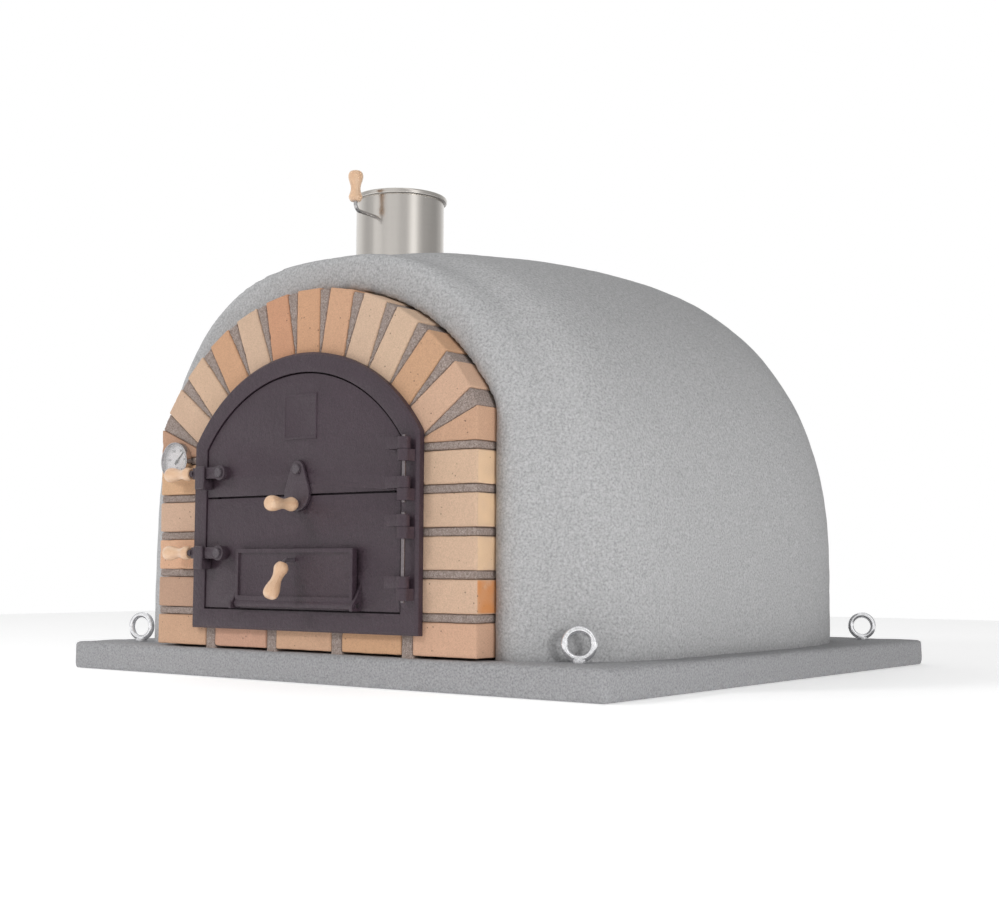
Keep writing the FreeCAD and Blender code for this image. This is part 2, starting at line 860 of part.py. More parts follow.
def build_latches(parts):
    grip = wooden_grip(grip_length)
    grip_x = latch_x - lever_reach - ferrule_length
    head_y = latch_y - lever_thickness / 2 - pivot_head_gap
    for name, z in (("lower", lower_latch_z), ("upper", upper_latch_z)):
        parts[name + "_latch_lever"] = side_latch(z)
        parts[name + "_latch_grip"] = aim(grip, Vector(-1, 0, 0), Vector(grip_x, latch_y, z))
        parts[name + "_latch_pivot"] = pivot_screw(latch_x, z, head_y, screw_end)
        parts[name + "_latch_keeper"] = latch_keeper(z)

    y1 = door_front - centre_plate_gap
    y0 = y1 - centre_plate_thickness
    top = facing_disc(0, centre_latch_z, centre_plate_top_radius, y0, y1)
    low_z = centre_latch_z - centre_plate_drop
    low = facing_disc(0, low_z, centre_plate_bottom_radius, y0, y1)
    plate = fuse([top, low, tangent_web(centre_latch_z, centre_plate_top_radius, low_z,
                                        centre_plate_bottom_radius, y0, y1)])
    knob_z = centre_latch_z - centre_knob_drop
    outward = Vector(0, -1, 0)
    knob_y = y0 - knob_foot_height
    foot = rod(Vector(0, y0, knob_z), outward, knob_foot_height, knob_foot_radius)
    stud = rod(Vector(0, knob_y, knob_z), outward, tang_length, tang_radius)
    plate = fuse([plate, foot, stud])
    hole = facing_disc(0, centre_latch_z, pivot_radius + pivot_clearance, y0 - cut_margin,
                       y1 + cut_margin)
    parts["centre_latch_plate"] = plate.cut(hole)
    parts["centre_latch_knob"] = aim(grip, outward, Vector(0, knob_y, knob_z))
    parts["centre_latch_pivot"] = pivot_screw(0, centre_latch_z, y0 - pivot_head_gap, screw_end)


def tangent_web(z_top, r_top, z_low, r_low, y0, y1):
    """Straight-sided web between two discs on the same vertical line."""
    sine = (r_low - r_top) / (z_top - z_low)
    cosine = math.sqrt(1 - sine ** 2)
    corners = [
        Vector(-r_low * cosine, 0, z_low + r_low * sine),
        Vector(r_low * cosine, 0, z_low + r_low * sine),
        Vector(r_top * cosine, 0, z_top + r_top * sine),
        Vector(-r_top * cosine, 0, z_top + r_top * sine),
    ]
    return prism_along_y(polygon_wire(corners), y0, y1)


# ------------------------------------------------------------------ draught flap


def build_flap(parts):
    y_pivot = flap_pivot_y()
    back = door_front - flap_gap
    front = back - flap_thickness
    top = flap_pivot_z + flap_height
    slab_of_flap = box(-flap_half_width, flap_half_width, front, back, flap_pivot_z, top)
    inner = flap_half_width - flap_border
    recess = box(-inner, inner, front, front + flap_recess,
                 flap_pivot_z + flap_barrel_radius + flap_border, top - flap_border)
    barrel = rod(Vector(-flap_half_width, y_pivot, flap_pivot_z), Vector(1, 0, 0),
                 2 * flap_half_width, flap_barrel_radius)
    flap = fuse([slab_of_flap.cut(recess), barrel])
    bore_half = flap_half_width + cut_margin
    running = rod(Vector(-bore_half, y_pivot, flap_pivot_z), Vector(1, 0, 0), 2 * bore_half,
                  flap_pin_radius + flap_pin_clearance)
    flap = flap.cut(running)
    parts["draught_flap"] = flap
    parts["draught_flap_pin"] = flap_hinge_pin()

    panel_front = front + flap_recess
    root = Vector(0, panel_front, flap_rod_z)
    out = Vector(0, -1, 0)
    bend_start = root + out * (flap_recess + flap_rod_straight)
    tilt = math.radians(flap_rod_tilt)
    direction = Vector(0, -math.cos(tilt), -math.sin(tilt))
    bend_centre = bend_start + Vector(0, 0, -flap_rod_bend)
    half_tilt = tilt / 2
    bend_mid = bend_centre + Vector(0, -math.sin(half_tilt), math.cos(half_tilt)) * flap_rod_bend
    bend_end = bend_centre + Vector(0, -math.sin(tilt), math.cos(tilt)) * flap_rod_bend
    stem_end = bend_end + direction * (tang_length + flap_rod_shoulder)
    path = Part.Wire([
        Part.makeLine(root, bend_start),
        Part.Arc(bend_start, bend_mid, bend_end).toShape(),
        Part.makeLine(bend_end, stem_end),
    ])
    profile = Part.Wire([Part.makeCircle(flap_rod_radius, root, out)])
    parts["draught_handle_rod"] = path.makePipeShell([profile], True, False)
    grip_base = bend_end + direction * flap_rod_shoulder
    parts["draught_handle_grip"] = aim(wooden_grip(grip_length), direction, grip_base)


# ------------------------------------------------------------------ flue and damper


def flue_base_z():
    return height_at(flue_y, 0)


def rim_top_z():
    return flue_base_z() + flue_rise


def damper_axis():
    turn = math.radians(damper_turn)
    return Vector(math.sin(turn), -math.cos(turn), 0)


def build_flue(parts):
    up = Vector(0, 0, 1)
    rim_top = rim_top_z()
    bottom = flue_base_z() - flue_socket_depth
    centre = Vector(0, flue_y, bottom)
    tube = rod(centre, up, rim_top - bottom, flue_radius)
    rim = rod(Vector(0, flue_y, rim_top - flue_rim_height), up, flue_rim_height, flue_rim_radius)
    rim = rim.makeFillet(flue_rim_round, [e for e in rim.Edges if len(e.Vertexes) == 1])
    pipe = fuse([tube, rim])
    bore_radius = flue_radius - flue_wall
    pipe = pipe.cut(rod(centre, up, rim_top - bottom, bore_radius))
    seat = Vector(0, flue_y, rim_top - flue_seat_depth)
    pipe = pipe.cut(rod(seat, up, flue_seat_depth, flue_radius - flue_seat_wall))
    stop = rod(seat - up * flue_stop_height, up, flue_stop_height, flue_radius - flue_wall / 2)
    stop = stop.cut(rod(seat - up * flue_stop_height, up, flue_stop_height, flue_stop_radius))
    pipe = fuse([pipe, stop])

    axis = damper_axis()
    hub = Vector(0, flue_y, rim_top - damper_below_rim)
    far_reach = flue_radius + damper_end_overhang
    far_end = hub - axis * far_reach
    hole = rod(far_end, axis, 2 * far_reach, damper_shaft_radius + damper_shaft_clearance)
    parts["flue_pipe"] = pipe.cut(hole)

    bend_start = hub + axis * (flue_radius + damper_reach - damper_bend)
    bend_centre = bend_start + up * damper_bend
    slant = math.sqrt(0.5) * damper_bend
    bend_mid = bend_centre + axis * slant - up * slant
    bend_end = bend_centre + axis * damper_bend
    stem_end = bend_end + up * (tang_length + damper_rod_shoulder)
    path = Part.Wire([
        Part.makeLine(far_end, bend_start),
        Part.Arc(bend_start, bend_mid, bend_end).toShape(),
        Part.makeLine(bend_end, stem_end),
    ])
    profile = Part.Wire([Part.makeCircle(damper_shaft_radius, far_end, axis)])
    shaft = path.makePipeShell([profile], True, False)

    plate_radius = bore_radius - damper_plate_gap
    plate_z = hub.z + damper_shaft_radius
    plate = rod(Vector(0, flue_y, plate_z), up, damper_plate_thickness, plate_radius)
    screws = []
    for side in (-0.5, 0.5):
        spot = hub + axis * (side * damper_screw_spacing)
        shank = rod(spot - up * damper_shaft_radius, up,
                    2 * damper_shaft_radius + damper_plate_thickness, damper_screw_radius)
        head = rod(Vector(spot.x, spot.y, plate_z + damper_plate_thickness), up,
                   damper_screw_head_height, damper_screw_head_radius)
        screws.append(fuse([shank, head]))
    parts["damper_screws"] = Part.makeCompound(screws)
    parts["damper_plate"] = plate.cut(screws)
    parts["damper_shaft"] = shaft.cut(screws)
    grip_base = bend_end + up * damper_rod_shoulder
    parts["damper_grip"] = aim(wooden_grip(damper_grip_length), up, grip_base)


# ------------------------------------------------------------------ thermometer


def build_gauge(parts):
    x = gauge_x
    z = gauge_z()
    front = facade_front - gauge_depth
    wall_inner = gauge_radius - gauge_wall
    case = facing_disc(x, z, gauge_radius, front, facade_front)
    rim = [edge for edge in case.Edges if abs(edge.CenterOfMass.y - front) < 1e-6]
    case = case.makeFillet(gauge_round, rim)
    case = case.cut(facing_disc(x, z, wall_inner, front - cut_margin,
                               facade_front - gauge_back))
    parts["thermometer_case"] = case
    parts["thermometer_stem"] = facing_disc(x, z, gauge_stem_radius, facade_front,
                                            facade_front + gauge_stem_length)

    dial_back = facade_front - gauge_back
    dial_front = dial_back - gauge_dial_thickness
    dial = facing_disc(x, z, wall_inner, dial_front, dial_back)
    bore = needle_spindle_radius + needle_spindle_clearance
    hole = facing_disc(x, z, bore, dial_front - cut_margin, dial_back + cut_margin)
    parts["thermometer_dial"] = dial.cut(hole)
    glass_front = front + gauge_glass_recess
    parts["thermometer_glass"] = facing_disc(x, z, wall_inner, glass_front,
                                             glass_front + gauge_glass_thickness)

    needle_back = dial_front - needle_dial_gap
    needle_front = needle_back - needle_thickness
    hub = facing_disc(x, z, needle_hub_radius, needle_front, needle_back)
    spindle = facing_disc(x, z, needle_spindle_radius, needle_back,
                          dial_back - needle_spindle_end_gap)
    blade = polygon_wire([
        Vector(-needle_tail_width / 2, 0, -needle_tail_length),
        Vector(needle_tail_width / 2, 0, -needle_tail_length),
        Vector(needle_tip_width / 2, 0, needle_length),
        Vector(-needle_tip_width / 2, 0, needle_length),
    ])
    blade = prism_along_y(blade, needle_front, needle_back)
    turned = place(blade, Vector(0, 1, 0), needle_angle, Vector(x, 0, z))
    parts["thermometer_needle"] = fuse([hub, spindle, turned])


# ------------------------------------------------------------------ assembly


def build_all():
    parts = {}
    build_slab(parts)
    build_body(parts)
    build_hearth(parts)
    build_facade(parts)
    build_frame(parts)
    build_lower_door(parts)
    build_upper_door(parts)
    build_latches(parts)
    build_flap(parts)
    build_flue(parts)
    build_gauge(parts)
    return parts


os.makedirs("parts", exist_ok=True)
for node_name, node_shape in build_all().items():
    node_shape.exportStep("parts/" + node_name + ".step")
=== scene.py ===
"""Looks of a wood fired pizza oven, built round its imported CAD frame."""

import json
import math

import bmesh
import bpy
import numpy as np
from mathutils import Matrix, Vector


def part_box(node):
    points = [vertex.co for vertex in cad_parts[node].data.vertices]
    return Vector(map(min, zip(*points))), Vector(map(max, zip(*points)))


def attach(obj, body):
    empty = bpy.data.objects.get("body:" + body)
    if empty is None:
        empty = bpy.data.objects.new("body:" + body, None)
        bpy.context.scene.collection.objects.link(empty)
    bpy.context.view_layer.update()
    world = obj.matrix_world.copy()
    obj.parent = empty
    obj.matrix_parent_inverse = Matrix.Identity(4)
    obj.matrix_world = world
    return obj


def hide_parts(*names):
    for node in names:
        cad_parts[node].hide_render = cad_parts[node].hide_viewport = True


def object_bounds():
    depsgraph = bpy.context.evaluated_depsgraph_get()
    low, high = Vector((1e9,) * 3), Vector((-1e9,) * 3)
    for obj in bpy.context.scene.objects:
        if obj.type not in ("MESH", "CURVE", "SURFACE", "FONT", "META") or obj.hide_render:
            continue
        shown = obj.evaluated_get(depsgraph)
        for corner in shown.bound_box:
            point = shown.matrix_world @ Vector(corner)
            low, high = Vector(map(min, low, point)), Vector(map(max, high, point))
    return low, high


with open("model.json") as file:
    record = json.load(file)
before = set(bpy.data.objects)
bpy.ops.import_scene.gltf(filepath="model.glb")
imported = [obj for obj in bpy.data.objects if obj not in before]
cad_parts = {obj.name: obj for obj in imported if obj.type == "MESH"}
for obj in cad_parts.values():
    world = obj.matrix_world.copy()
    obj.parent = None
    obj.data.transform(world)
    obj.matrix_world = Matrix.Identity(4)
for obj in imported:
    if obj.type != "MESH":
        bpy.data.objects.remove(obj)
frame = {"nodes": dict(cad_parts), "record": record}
cad_low, cad_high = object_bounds()

MM = 0.001
NODES = frame["nodes"]
RECORD = frame["record"]
BODY_OF = {node: body for body, members in RECORD["behaviour"]["bodies"].items()
           for node in members}

SHELL_VOXEL = 8.0 * MM
SLAB_VOXEL = 6.0 * MM
BRICK_VOXEL = 2.0 * MM
MORTAR_VOXEL = 3.1 * MM
CAST_BEVEL = 1.1 * MM
FITTING_BEVEL = 0.8 * MM
KEEPER_BEVEL = 0.7 * MM
WELD_DISTANCE = 0.004 * MM
FLAT_ANGLE = math.radians(0.6)
SHARP_ANGLE = math.radians(38)
FOOT_HEIGHT = 18.0 * MM
FOOT_SINK = 9.0 * MM

X_AXIS = Vector((1, 0, 0))
Y_AXIS = Vector((0, 1, 0))
Z_AXIS = Vector((0, 0, 1))


def linear(red, green, blue):
    """Linear RGBA of a display colour given in steps of 0 to 255."""
    parts = []
    for value in (red, green, blue):
        part = value / 255
        parts.append(part / 12.92 if part <= 0.04045 else ((part + 0.055) / 1.055) ** 2.4)
    return (*parts, 1.0)


def toned(colour, share):
    """A display colour made lighter or darker."""
    return tuple(min(255.0, value * share) for value in colour)


class Finish:
    """A node material on one principled shader, painted in object coordinates."""

    def __init__(self, name, **sockets):
        self.material = bpy.data.materials.new(name)
        self.material.use_nodes = True
        self.tree = self.material.node_tree
        self.shader = self.tree.nodes["Principled BSDF"]
        for socket, value in sockets.items():
            self.shader.inputs[socket.replace("_", " ")].default_value = value
        self.place = self.add("ShaderNodeTexCoord").outputs["Object"]

    def feed(self, socket, value):
        if isinstance(value, bpy.types.NodeSocket):
            self.tree.links.new(value, socket)
        else:
            socket.default_value = value

    def add(self, kind, **inputs):
        node = self.tree.nodes.new(kind)
        for socket, value in inputs.items():
            self.feed(node.inputs[socket.replace("_", " ")], value)
        return node

    def along(self, axis, along_scale, across_scale):
        """Coordinates turned so that the axis is Z, then stretched along it."""
        turn = Vector(axis).rotation_difference(Z_AXIS).to_euler()
        turned = self.add("ShaderNodeMapping", Vector=self.place, Rotation=turn)
        return self.add("ShaderNodeMapping", Vector=turned.outputs["Vector"],
                        Scale=(across_scale, across_scale, along_scale)).outputs["Vector"]

    def noise(self, scale, detail=3.0, roughness=0.55, place=None):
        return self.add("ShaderNodeTexNoise", Vector=place or self.place, Scale=scale, Detail=detail,
                        Roughness=roughness).outputs[0]

    def cells(self, scale, place=None):
        """Distance from the nearest of many scattered points."""
        node = self.add("ShaderNodeTexVoronoi", Vector=place or self.place, Scale=scale)
        return node.outputs["Distance"]

    def ramp(self, value, *stops):
        node = self.add("ShaderNodeValToRGB", Fac=value)
        marks = node.color_ramp.elements
        while len(marks) < len(stops):
            marks.new(0.5)
        for mark, (position, colour) in zip(marks, stops):
            mark.position = position
            mark.color = colour
        return node.outputs["Color"]

    def shades(self, value, colour, dark, light, low=0.30, high=0.70):
        """The colour, from a darker to a lighter shade as the value rises."""
        return self.ramp(value, (low, linear(*toned(colour, dark))),
                         (high, linear(*toned(colour, light))))

    def mask(self, value, low, high):
        """0 below low and 1 above high, or the other way round where low is above high."""
        node = self.add("ShaderNodeMapRange", Value=value)
        node.inputs["From Min"].default_value = min(low, high)
        node.inputs["From Max"].default_value = max(low, high)
        if low > high:
            node.inputs["To Min"].default_value = 1.0
            node.inputs["To Max"].default_value = 0.0
        return node.outputs["Result"]

    def scaled(self, value, low, high):
        node = self.add("ShaderNodeMapRange", Value=value)
        node.inputs["To Min"].default_value = low
        node.inputs["To Max"].default_value = high
        return node.outputs["Result"]

    def mix(self, share, first, second, blend="MIX"):
        node = self.add("ShaderNodeMix")
        node.data_type = "RGBA"
        node.blend_type = blend
        self.feed(node.inputs[0], share)
        self.feed(node.inputs[6], first)
        self.feed(node.inputs[7], second)
        return node.outputs[2]

    def combine(self, operation, first, second):
        node = self.add("ShaderNodeMath")
        node.operation = operation
        self.feed(node.inputs[0], first)
        self.feed(node.inputs[1], second)
        return node.outputs[0]

    def coordinate(self, axis):
        return self.add("ShaderNodeSeparateXYZ", Vector=self.place).outputs[axis]

    def paint(self, colour=None, roughness=None, heights=()):
        """Feeds the shader. heights are (height, depth in metres), the coarsest first."""
        if colour is not None:
            self.feed(self.shader.inputs["Base Color"], colour)
        if roughness is not None:
            self.feed(self.shader.inputs["Roughness"], roughness)
        normal = None
        for height, depth in heights:
            bump = self.add("ShaderNodeBump", Height=height, Distance=depth)
            if normal is not None:
                self.feed(bump.inputs["Normal"], normal)
            normal = bump.outputs["Normal"]
        if normal is not None:
            self.feed(self.shader.inputs["Normal"], normal)
        return self.material


def cement_finish(name, colour, grain_scale, depth):
    """Sprayed cement: a fine pitted grain with paler crumbs and faint clouds, and painted shade in
    the pits.
    """
    finish = Finish(name, Roughness=0.95, Specular_IOR_Level=0.2)
    grain = finish.noise(grain_scale, 3.0, 0.62)
    pits = finish.cells(grain_scale * 0.8)
    tone = finish.ramp(grain, (0.30, linear(*toned(colour, 0.86))), (0.48, linear(*colour)),
                       (0.72, linear(*toned(colour, 1.13))))
    # Painted shade: the pits, which the bump presses in, are painted darker.
    tone = finish.mix(finish.mask(pits, 0.20, 0.05), tone, linear(*toned(colour, 0.84)))
    cloud = finish.noise(6.0, 4.0)
    tone = finish.mix(finish.scaled(cloud, 0.0, 0.12), tone, linear(*toned(colour, 0.88)))
    return finish.paint(tone, None, ((finish.noise(grain_scale * 0.35, 2.0), depth),
                                     (grain, depth * 0.8), (pits, depth * 0.35)))


def brick_finish(name, colour, flank=None):
    """Sanded clay: a fine grain, soft clouds, small dark specks and open pores."""
    finish = Finish(name, Roughness=0.9, Specular_IOR_Level=0.25)
    grain = finish.noise(520.0, 3.0, 0.6)
    cloud = finish.noise(22.0, 4.0, 0.6)
    tone = finish.ramp(grain, (0.28, linear(*toned(colour, 0.91))), (0.5, linear(*colour)),
                       (0.74, linear(*toned(colour, 1.07))))
    tone = finish.mix(finish.scaled(cloud, 0.0, 0.5), tone, linear(*toned(colour, 0.94)))
    # A flank colour in patches on the face at the largest X: the clay's own orange on the lowest
    # right jamb brick, painted light (a paler tone where the right lamps fall) on the bricks above.
    if flank is not None:
        edge, flank_colour = flank
        side = finish.mask(finish.coordinate("X"), edge - 0.8 * MM, edge)
        tone = finish.mix(finish.combine("MULTIPLY", side, finish.mask(cloud, 0.20, 0.36)), tone,
                          linear(*flank_colour))
    speck = finish.combine("MULTIPLY", finish.mask(finish.cells(115.0), 0.17, 0.10),
                           finish.mask(finish.noise(38.0, 2.0), 0.52, 0.60))
    tone = finish.mix(finish.combine("MULTIPLY", speck, 0.75), tone, linear(*toned(colour, 0.42)))
    streaked = finish.noise(9.0, 6.0, 0.7, finish.along((0.3, 0, 1), 1.5, 9.0))
    scratch = finish.mask(streaked, 0.60, 0.70)
    tone = finish.mix(finish.combine("MULTIPLY", scratch, 0.22), tone, linear(*toned(colour, 1.13)))
    pore = finish.mask(finish.cells(240.0), 0.06, 0.20)
    return finish.paint(tone, None, ((cloud, 0.8 * MM), (grain, 0.30 * MM), (pore, 0.25 * MM)))


def mortar_finish():
    """Sandy mortar with light and dark grains."""
    finish = Finish("mortar_sand", Roughness=0.95, Specular_IOR_Level=0.15)
    grain = finish.noise(430.0, 4.0, 0.7)
    tone = finish.ramp(grain, (0.28, linear(104, 92, 87)), (0.46, linear(147, 133, 126)),
                       (0.60, linear(170, 156, 149)), (0.75, linear(210, 199, 190)))
    fleck = finish.mask(finish.cells(330.0), 0.22, 0.14)
    tone = finish.mix(finish.combine("MULTIPLY", fleck, 0.6), tone, linear(222, 212, 203))
    cloud = finish.noise(30.0, 3.0)
    tone = finish.mix(finish.scaled(cloud, 0.0, 0.25), tone, linear(136, 121, 115))
    return finish.paint(tone, None, ((finish.noise(120.0, 3.0), 1.2 * MM), (grain, 0.7 * MM)))


def iron_finish(name, colour, rough_low=0.32, rough_high=0.52):
    """Sand-cast iron under a thin dark coat: an orange-peel skin with fine grit."""
    finish = Finish(name, Specular_IOR_Level=0.5)
    skin = finish.noise(150.0, 4.0, 0.62)
    grit = finish.noise(520.0, 3.0, 0.65)
    tone = finish.shades(grit, colour, 0.80, 1.20)
    cloud = finish.noise(11.0, 5.0, 0.6)
    tone = finish.mix(finish.scaled(cloud, 0.0, 0.7), tone, linear(*toned(colour, 0.74)))
    rough = finish.scaled(cloud, rough_low, rough_high)
    return finish.paint(tone, rough, ((finish.noise(40.0, 2.0), 1.6 * MM), (skin, 1.2 * MM),
                                      (grit, 0.45 * MM)))


def zinc_finish(name, colour, low=0.28, high=0.44):
    """Plated steel with faint crystal patches and small scuffs."""
    finish = Finish(name, Metallic=1.0)
    patch = finish.noise(240.0, 3.0)
    tone = finish.shades(patch, colour, 0.93, 1.03, 0.35, 0.65)
    scuff = finish.noise(60.0, 5.0, 0.7)
    return finish.paint(tone, finish.scaled(scuff, low, high),
                        ((patch, 0.02 * MM), (scuff, 0.03 * MM)))


def stainless_finish(name, colour, axis=Z_AXIS):
    """Rolled stainless sheet: fine brush lines round the axis and long soft streaks along it."""
    finish = Finish(name, Metallic=1.0, Anisotropic=0.55)
    lines = finish.noise(1.0, 3.0, 0.6, finish.along(axis, 2600.0, 16.0))
    streaks = finish.noise(1.0, 3.0, 0.5, finish.along(axis, 3.0, 55.0))
    tone = finish.shades(lines, colour, 0.975, 1.015)
    tone = finish.mix(finish.scaled(streaks, 0.0, 0.6), tone, linear(*toned(colour, 0.84)))
    rough = finish.combine("ADD", finish.scaled(lines, 0.12, 0.18), finish.scaled(streaks, 0.0, 0.08))
    tangent = finish.add("ShaderNodeTangent")
    tangent.direction_type = "RADIAL"
    tangent.axis = "Z"
    finish.feed(finish.shader.inputs["Tangent"], tangent.outputs[0])
    return finish.paint(tone, rough, ((streaks, 0.03 * MM), (lines, 0.004 * MM)))


def beech_finish(name, axis):
    """Varnished beech: grain along the turned axis with short dark flecks."""
    finish = Finish(name, Coat_Weight=0.7, Coat_Roughness=0.14, Specular_IOR_Level=0.5)
    bands = finish.noise(1.0, 4.0, 0.55, finish.along(axis, 9.0, 120.0))
    fibre = finish.noise(1.0, 3.0, 0.6, finish.along(axis, 40.0, 900.0))
    fleck = finish.mask(finish.cells(1.0, finish.along(axis, 130.0, 620.0)), 0.22, 0.10)
    tone = finish.ramp(bands, (0.30, linear(216, 174, 140)), (0.50, linear(229, 192, 158)),
                       (0.72, linear(238, 206, 175)))
    tone = finish.mix(finish.scaled(fibre, 0.0, 0.35), tone, linear(208, 164, 128))
    tone = finish.mix(finish.combine("MULTIPLY", fleck, 0.5), tone, linear(176, 128, 92))
    return finish.paint(tone, finish.scaled(fibre, 0.32, 0.48), ((fibre, 0.04 * MM),))


def refractory_finish(name, colour, scale, depth):
    """Cast or pressed refractory: a gritty face with small voids and soot clouds."""
    finish = Finish(name, Roughness=0.95, Specular_IOR_Level=0.15)
    grit = finish.noise(scale, 4.0, 0.65)
    tone = finish.shades(grit, colour, 0.84, 1.08)
    soot = finish.mask(finish.noise(5.0, 5.0, 0.6), 0.44, 0.62)
    tone = finish.mix(finish.combine("MULTIPLY", soot, 0.35), tone, linear(*toned(colour, 0.62)))
    voids = finish.mask(finish.cells(scale * 0.5), 0.06, 0.22)
    return finish.paint(tone, None, ((finish.noise(scale * 0.25), depth * 2), (grit, depth),
                                     (voids, depth)))


def blanket_finish():
    """Ceramic fibre: a matted pale surface."""
    finish = Finish("insulation_fibre", Roughness=1.0, Specular_IOR_Level=0.1)
    mat = finish.noise(1.0, 5.0, 0.7, finish.along((1, 0.4, 0.2), 60.0, 420.0))
    tone = finish.ramp(mat, (0.30, linear(206, 200, 186)), (0.70, linear(236, 232, 222)))
    return finish.paint(tone, None, ((finish.noise(18.0, 4.0), 3.0 * MM), (mat, 0.8 * MM)))


def enamel_finish(name, colour, roughness):
    """Smooth enamel with a faint orange peel."""
    finish = Finish(name, Coat_Weight=0.2, Coat_Roughness=0.2)
    peel = finish.noise(500.0, 2.0)
    tone = finish.ramp(peel, (0.3, linear(*toned(colour, 0.97))), (0.7, linear(*colour)))
    return finish.paint(tone, finish.scaled(peel, roughness, roughness + 0.08), ((peel, 0.02 * MM),))


def glass_finish():
    """Clear gauge glass, thin enough that its light reaches the dial."""
    finish = Finish("gauge_clear", Base_Color=(0.95, 0.96, 0.96, 1.0), Alpha=0.14, IOR=1.5)
    wipe = finish.noise(90.0, 3.0)
    return finish.paint(None, finish.scaled(wipe, 0.02, 0.09))


def welded(mesh):
    """A copy of a CAD mesh as one skin, without the doubled points along its faces' borders."""
    form = bmesh.new()
    form.from_mesh(mesh)
    bmesh.ops.remove_doubles(form, verts=form.verts, dist=WELD_DISTANCE)
    result = bpy.data.meshes.new(mesh.name + "_skin")
    form.to_mesh(result)
    form.free()
    return result


def evaluated(mesh, *modifiers):
    """The mesh after modifiers, each given as (kind, settings)."""
    thing = bpy.data.objects.new("workpiece", mesh)
    bpy.context.scene.collection.objects.link(thing)
    for kind, settings in modifiers:
        modifier = thing.modifiers.new(kind, kind)
        for key, value in settings.items():
            setattr(modifier, key, value)
    graph = bpy.context.evaluated_depsgraph_get()
    result = bpy.data.meshes.new_from_object(thing.evaluated_get(graph))
    bpy.data.objects.remove(thing)
    return result


def remeshed(mesh, voxel):
    return evaluated(mesh, ("REMESH", {"mode": "VOXEL", "voxel_size": voxel}))


def islands(mesh):
    """The mesh's separate solids, as meshes."""
    form = bmesh.new()
    form.from_mesh(mesh)
    form.verts.ensure_lookup_table()
    group = {}
    for start in form.verts:
        if start in group:
            continue
        number = len(set(group.values()))
        group[start] = number
        stack = [start]
        while stack:
            for edge in stack.pop().link_edges:
                for vert in edge.verts:
                    if vert not in group:
                        group[vert] = number
                        stack.append(vert)
    parts = []
    for number in range(len(set(group.values()))):
        single = bmesh.new()
        copies = {vert: single.verts.new(vert.co) for vert in form.verts if group[vert] == number}
        for face in form.faces:
            if group[face.verts[0]] == number:
                single.faces.new([copies[vert] for vert in face.verts])
        part = bpy.data.meshes.new(mesh.name)
        single.to_mesh(part)
        single.free()
        parts.append(part)
    form.free()
    return parts


def points_of(mesh):
    points = np.empty(len(mesh.vertices) * 3)
    mesh.vertices.foreach_get("co", points)
    return points.reshape(-1, 3)


def normals_of(mesh):
    normals = np.empty(len(mesh.vertices) * 3)
    mesh.vertex_normals.foreach_get("vector", normals)
    return normals.reshape(-1, 3)


def edges_of(mesh):
    edges = np.empty(len(mesh.edges) * 2, dtype=np.int64)
    mesh.edges.foreach_get("vertices", edges)
    return edges.reshape(-1, 2)


def move_points(mesh, points):
    mesh.vertices.foreach_set("co", points.astype(np.float32).ravel())
    mesh.update()


def smoothed(points, edges, steps):
    """Points moved towards the mean of their neighbours."""
    ends = np.concatenate([edges, edges[:, ::-1]])
    count = np.bincount(ends[:, 0], minlength=len(points))[:, None]
    for _ in range(steps):
        total = [np.bincount(ends[:, 0], weights=points[ends[:, 1], axis], minlength=len(points))
                 for axis in range(3)]
        points = 0.5 * points + 0.5 * np.stack(total, axis=1) / count
    return points


def ripple(points, wavelength, seed, waves=22):
    """Smooth random values of unit spread, with features of about that wavelength."""
    dice = np.random.default_rng(seed)
    directions = dice.normal(size=(waves, 3))
    directions /= np.linalg.norm(directions, axis=1)[:, None]
    numbers = 2 * math.pi / (wavelength * dice.uniform(0.7, 1.5, waves))
    phases = dice.uniform(0, 2 * math.pi, waves)
    values = np.sin(points @ (directions * numbers[:, None]).T + phases)
    return values.sum(axis=1) / math.sqrt(waves / 2)


def pressed(points, wavelength, depth, seed):
    """How far to press a surface in: between nothing and twice the depth."""
    return depth * np.clip(1 + 0.6 * ripple(points, wavelength, seed), 0, 2)


def add_piece(name, mesh, finish, *replaced):
    """A piece that stands for CAD nodes, on their body, with the given finish in its own material
    slot.
    """
    thing = bpy.data.objects.new(name, mesh)
    bpy.context.scene.collection.objects.link(thing)
    mesh.materials.clear()
    mesh.materials.append(finish)
    mesh.shade_smooth()
    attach(thing, BODY_OF[replaced[0]])
    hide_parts(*replaced)
    return thing


def dress(finish, *names):
    """Gives CAD nodes a finish."""
    for name in names:
        for place in NODES[name].material_slots:
            place.material = finish


def sprayed_shell():
    """The rendered body: soft edges, gently uneven walls and a foot bedded in the slab."""
    node = NODES["render_shell"]
    mesh = remeshed(welded(node.data), SHELL_VOXEL)
    points = points_of(mesh)
    points = smoothed(points, edges_of(mesh), 1)
    normals = normals_of(mesh)
    press = pressed(points, 0.110, 0.45 * MM, 11) + pressed(points, 0.026, 0.25 * MM, 12)
    points = points - normals * press[:, None]
    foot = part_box("render_shell")[0].z
    share = np.clip(1 - (points[:, 2] - foot) / FOOT_HEIGHT, 0, 1)
    points[:, 2] -= share * FOOT_SINK
    move_points(mesh, points)
    finish = cement_finish("render_sprayed", (177, 177, 178), 300.0, 0.9 * MM)
    add_piece("render_body", mesh, finish, "render_shell")


def cast_slab():
    """The slab: the same cement, with slightly worn arrises."""
    node = NODES["base_slab"]
    mesh = remeshed(welded(node.data), SLAB_VOXEL)
    points = smoothed(points_of(mesh), edges_of(mesh), 1)
    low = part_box("base_slab")[0].z
    above = np.clip((points[:, 2] - low) / FOOT_HEIGHT, 0, 1)
    press = pressed(points, 0.060, 0.35 * MM, 21) * above
    points = points - normals_of(mesh) * press[:, None]
    move_points(mesh, points)
    finish = cement_finish("slab_cement", (160, 160, 162), 320.0, 0.8 * MM)
    add_piece("slab_body", mesh, finish, "base_slab")


